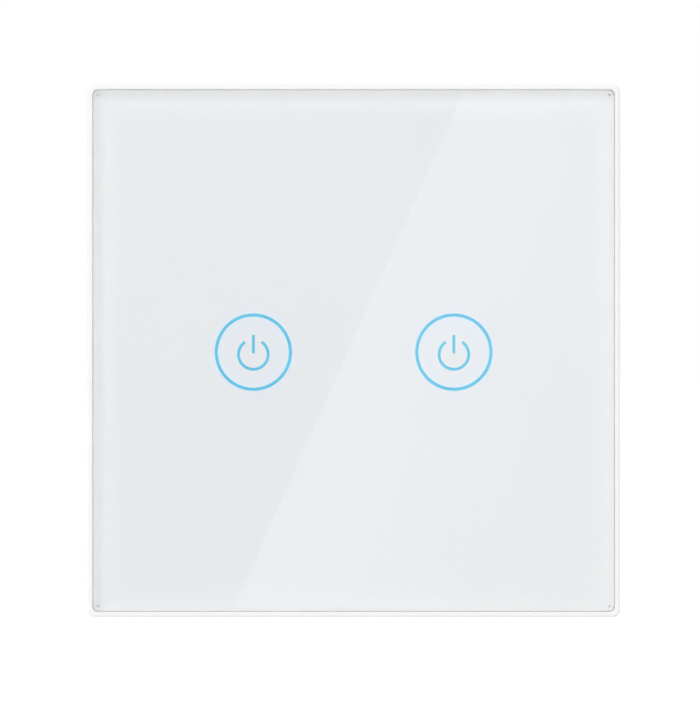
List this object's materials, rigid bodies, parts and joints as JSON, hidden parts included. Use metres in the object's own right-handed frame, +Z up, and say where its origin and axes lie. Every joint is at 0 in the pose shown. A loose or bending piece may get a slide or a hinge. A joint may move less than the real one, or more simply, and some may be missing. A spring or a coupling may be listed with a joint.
{
  "type": "touch light switch",
  "caption": "Square glass wall switch with side-by-side touch points, each a lit blue ring round a standby sign, on a carrier, base plate and in-wall housing.",
  "frame": {"origin": "midway between the two box screws, on the wall plane", "axes": "+X to the user's right, +Z up, -Y out of the wall towards the user"},
  "size_m": [0.086, 0.0355, 0.086],
  "materials": {
    "glass": "polished clear glass with a bevelled edge",
    "back_print": "white ink printed on the back of the glass",
    "icon_light": "blue diffuser film, lit from behind",
    "foam_tape": "double-sided foam tape",
    "panel_plastic": "white moulded plastic, satin",
    "base_plastic": "white moulded plastic",
    "spring_steel": "sprung stainless strip",
    "control_board": "green solder mask",
    "screw_steel": "zinc plated steel",
    "shroud_plastic": "white moulded plastic",
    "touch_spring": "tinned spring wire",
    "led": "clear epoxy over a white base",
    "chip_plastic": "black moulded epoxy",
    "passive_ceramic": "ceramic with tinned ends",
    "connector_plastic": "black moulded plastic",
    "housing_plastic": "white flame-retardant plastic",
    "power_board": "green solder mask",
    "terminal_plastic": "green moulded plastic",
    "contact_brass": "stamped brass",
    "clamp_steel": "zinc plated steel strip",
    "terminal_screw_steel": "zinc plated steel",
    "relay_plastic": "black moulded plastic",
    "relay_base_plastic": "black moulded plastic",
    "relay_iron": "nickel plated soft iron",
    "bobbin_plastic": "natural moulded plastic",
    "copper_winding": "enamelled copper wire",
    "ferrite": "sintered ferrite",
    "transformer_tape": "yellow insulating tape",
    "capacitor_sleeve": "shrunk plastic sleeve over aluminium",
    "film_capacitor_plastic": "moulded yellow case",
    "varistor_lacquer": "blue dipped epoxy",
    "fuse_plastic": "brown moulded plastic"
  },
  "bodies": {
    "root": {"base_plate": "base_plastic", "panel_clips": "spring_steel", "control_board": "control_board", "control_board_screws": "screw_steel", "light_shrouds": "shroud_plastic", "touch_springs": "touch_spring", "indicator_leds": "led", "touch_controller": "chip_plastic", "chip_passives": "passive_ceramic", "socket_strip": "connector_plastic", "pin_strip": "connector_plastic", "rear_housing": "housing_plastic", "housing_screws": "screw_steel", "power_board": "power_board", "terminal_block": "terminal_plastic", "terminal_contacts": "contact_brass", "relay_covers": "relay_plastic", "relay_bases": "relay_base_plastic", "relay_yokes": "relay_iron", "relay_bobbins": "bobbin_plastic", "relay_windings": "copper_winding", "relay_fixed_contacts": "contact_brass", "transformer_core": "ferrite", "transformer_winding": "transformer_tape", "bulk_capacitor": "capacitor_sleeve", "small_capacitor": "capacitor_sleeve", "film_capacitor": "film_capacitor_plastic", "varistor": "varistor_lacquer", "fuse": "fuse_plastic"},
    "front_panel": {"glass_panel": "glass", "back_print": "back_print", "icon_diffusers": "icon_light", "adhesive_tape": "foam_tape", "panel_carrier": "panel_plastic"},
    "clamp_screw_1": {"terminal_screw_1": "terminal_screw_steel"},
    "wire_clamp_1": {"clamp_cage_1": "clamp_steel"},
    "clamp_screw_2": {"terminal_screw_2": "terminal_screw_steel"},
    "wire_clamp_2": {"clamp_cage_2": "clamp_steel"},
    "clamp_screw_3": {"terminal_screw_3": "terminal_screw_steel"},
    "wire_clamp_3": {"clamp_cage_3": "clamp_steel"},
    "clamp_screw_4": {"terminal_screw_4": "terminal_screw_steel"},
    "wire_clamp_4": {"clamp_cage_4": "clamp_steel"},
    "left_relay_armature": {"relay_armature_left": "relay_iron", "relay_moving_contact_left": "contact_brass"},
    "right_relay_armature": {"relay_armature_right": "relay_iron", "relay_moving_contact_right": "contact_brass"}
  },
  "joints": [
    {"name": "panel_pull", "type": "slide", "parent": "root", "child": "front_panel", "axis": [0, -1, 0], "range_m": [0, 0.02], "deforming": ["panel_clips"]},
    {"name": "clamp_screw_1_turn", "type": "hinge", "parent": "root", "child": "clamp_screw_1", "pos_m": [-0.01005, 0.0217, -0.0192], "axis": [0, -1, 0], "range_deg": [0, 2520]},
    {"name": "wire_clamp_1_rise", "type": "slide", "parent": "root", "child": "wire_clamp_1", "axis": [0, 1, 0], "range_m": [0, 0.0042]},
    {"name": "clamp_screw_2_turn", "type": "hinge", "parent": "root", "child": "clamp_screw_2", "pos_m": [-0.00335, 0.0217, -0.0192], "axis": [0, -1, 0], "range_deg": [0, 2520]},
    {"name": "wire_clamp_2_rise", "type": "slide", "parent": "root", "child": "wire_clamp_2", "axis": [0, 1, 0], "range_m": [0, 0.0042]},
    {"name": "clamp_screw_3_turn", "type": "hinge", "parent": "root", "child": "clamp_screw_3", "pos_m": [0.00335, 0.0217, -0.0192], "axis": [0, -1, 0], "range_deg": [0, 2520]},
    {"name": "wire_clamp_3_rise", "type": "slide", "parent": "root", "child": "wire_clamp_3", "axis": [0, 1, 0], "range_m": [0, 0.0042]},
    {"name": "clamp_screw_4_turn", "type": "hinge", "parent": "root", "child": "clamp_screw_4", "pos_m": [0.01005, 0.0217, -0.0192], "axis": [0, -1, 0], "range_deg": [0, 2520]},
    {"name": "wire_clamp_4_rise", "type": "slide", "parent": "root", "child": "wire_clamp_4", "axis": [0, 1, 0], "range_m": [0, 0.0042]},
    {"name": "left_relay_armature_tilt", "type": "hinge", "parent": "root", "child": "left_relay_armature", "pos_m": [-0.0061, 0.02005, 0.0043], "axis": [-1, 0, 0], "range_deg": [0, 4], "stiffness_Nm_per_rad": 0.0005, "springref_deg": -17.19},
    {"name": "right_relay_armature_tilt", "type": "hinge", "parent": "root", "child": "right_relay_armature", "pos_m": [0.0061, 0.02005, 0.0043], "axis": [-1, 0, 0], "range_deg": [0, 4], "stiffness_Nm_per_rad": 0.0005, "springref_deg": -17.19}
  ],
  "couplings": [
    {"joint": "clamp_screw_1_turn", "follows": "wire_clamp_1_rise", "rad_per_m": 10472},
    {"joint": "clamp_screw_2_turn", "follows": "wire_clamp_2_rise", "rad_per_m": 10472},
    {"joint": "clamp_screw_3_turn", "follows": "wire_clamp_3_rise", "rad_per_m": 10472},
    {"joint": "clamp_screw_4_turn", "follows": "wire_clamp_4_rise", "rad_per_m": 10472}
  ]
}
